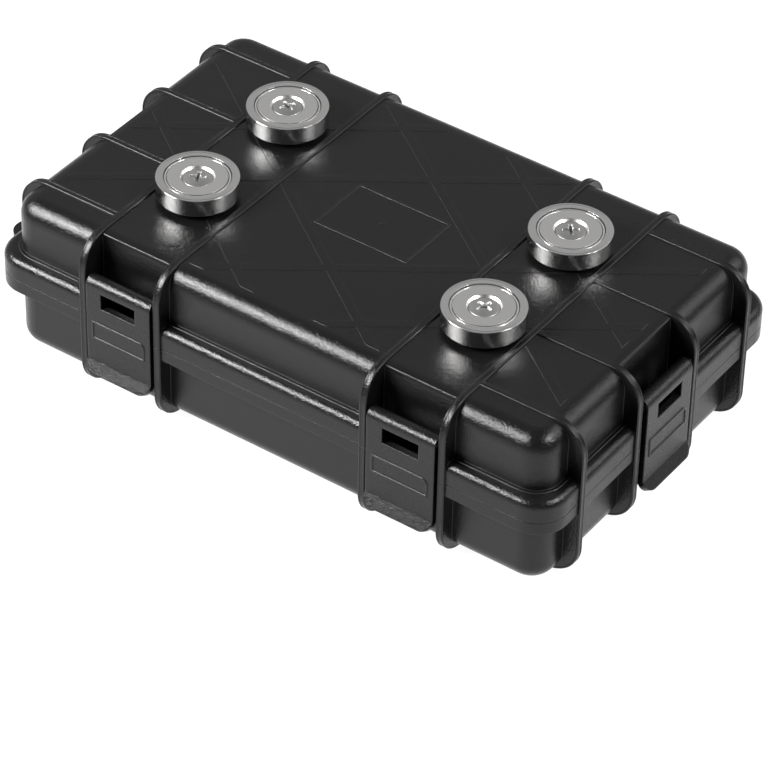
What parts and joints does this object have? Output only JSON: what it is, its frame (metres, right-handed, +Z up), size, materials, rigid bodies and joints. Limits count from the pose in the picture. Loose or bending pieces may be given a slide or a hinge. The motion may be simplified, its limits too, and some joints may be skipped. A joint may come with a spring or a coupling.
{
  "type": "magnetic key holder box",
  "caption": "Ribbed plastic box with a hinged, foam-lined lid, swinging latches and round pot magnets on its roof, for keeping keys on a steel surface.",
  "frame": {"origin": "middle of the footprint, at the height of the rib feet", "axes": "+X towards the right end, +Y towards the hinges, +Z up through the magnets"},
  "size_m": [0.2105, 0.1298, 0.0618],
  "materials": {
    "case_plastic": "fine-grained satin",
    "latch_plastic": "fine-grained satin",
    "seal_rubber": "matt",
    "foam": "open-cell foam",
    "pin_steel": "drawn wire",
    "nickel": "bright nickel plate",
    "cup_resin": "cast resin",
    "screw_steel": "zinc plate"
  },
  "bodies": {
    "base": {"base_shell": "case_plastic", "hinge_pin_left": "pin_steel", "hinge_pin_right": "pin_steel"},
    "lid": {"lid_shell": "case_plastic", "rim_seal": "seal_rubber", "lid_foam": "foam", "latch_pin_front_left": "pin_steel", "latch_pin_front_right": "pin_steel", "latch_pin_left_end": "pin_steel", "latch_pin_right_end": "pin_steel", "magnet_cup_front_left": "nickel", "magnet_cup_front_right": "nickel", "magnet_cup_back_left": "nickel", "magnet_cup_back_right": "nickel", "magnet_ring_front_left": "nickel", "magnet_ring_front_right": "nickel", "magnet_ring_back_left": "nickel", "magnet_ring_back_right": "nickel", "cup_filler_front_left": "cup_resin", "cup_filler_front_right": "cup_resin", "cup_filler_back_left": "cup_resin", "cup_filler_back_right": "cup_resin", "cup_screw_front_left": "screw_steel", "cup_screw_front_right": "screw_steel", "cup_screw_back_left": "screw_steel", "cup_screw_back_right": "screw_steel", "cup_spacer_front_left": "seal_rubber", "cup_spacer_front_right": "seal_rubber", "cup_spacer_back_left": "seal_rubber", "cup_spacer_back_right": "seal_rubber", "lid_washer_front_left": "screw_steel", "lid_washer_front_right": "screw_steel", "lid_washer_back_left": "screw_steel", "lid_washer_back_right": "screw_steel", "lid_nut_front_left": "screw_steel", "lid_nut_front_right": "screw_steel", "lid_nut_back_left": "screw_steel", "lid_nut_back_right": "screw_steel"},
    "latch_front_left": {"latch_front_left": "latch_plastic"},
    "latch_front_right": {"latch_front_right": "latch_plastic"},
    "latch_left_end": {"latch_left_end": "latch_plastic"},
    "latch_right_end": {"latch_right_end": "latch_plastic"}
  },
  "joints": [
    {"name": "lid_hinge", "type": "hinge", "parent": "base", "child": "lid", "pos_m": [0, 0.0632, 0.0288], "axis": [-1, 0, 0], "range_deg": [0, 105]},
    {"name": "latch_front_left_hinge", "type": "hinge", "parent": "lid", "child": "latch_front_left", "pos_m": [-0.0504, -0.0592, 0.041], "axis": [-1, 0, 0], "range_deg": [0, 120]},
    {"name": "latch_front_right_hinge", "type": "hinge", "parent": "lid", "child": "latch_front_right", "pos_m": [0.0504, -0.0592, 0.041], "axis": [-1, 0, 0], "range_deg": [0, 120]},
    {"name": "latch_left_end_hinge", "type": "hinge", "parent": "lid", "child": "latch_left_end", "pos_m": [-0.0982, 0, 0.041], "axis": [0, 1, 0], "range_deg": [0, 120]},
    {"name": "latch_right_end_hinge", "type": "hinge", "parent": "lid", "child": "latch_right_end", "pos_m": [0.0982, 0, 0.041], "axis": [0, -1, 0], "range_deg": [0, 120]}
  ]
}
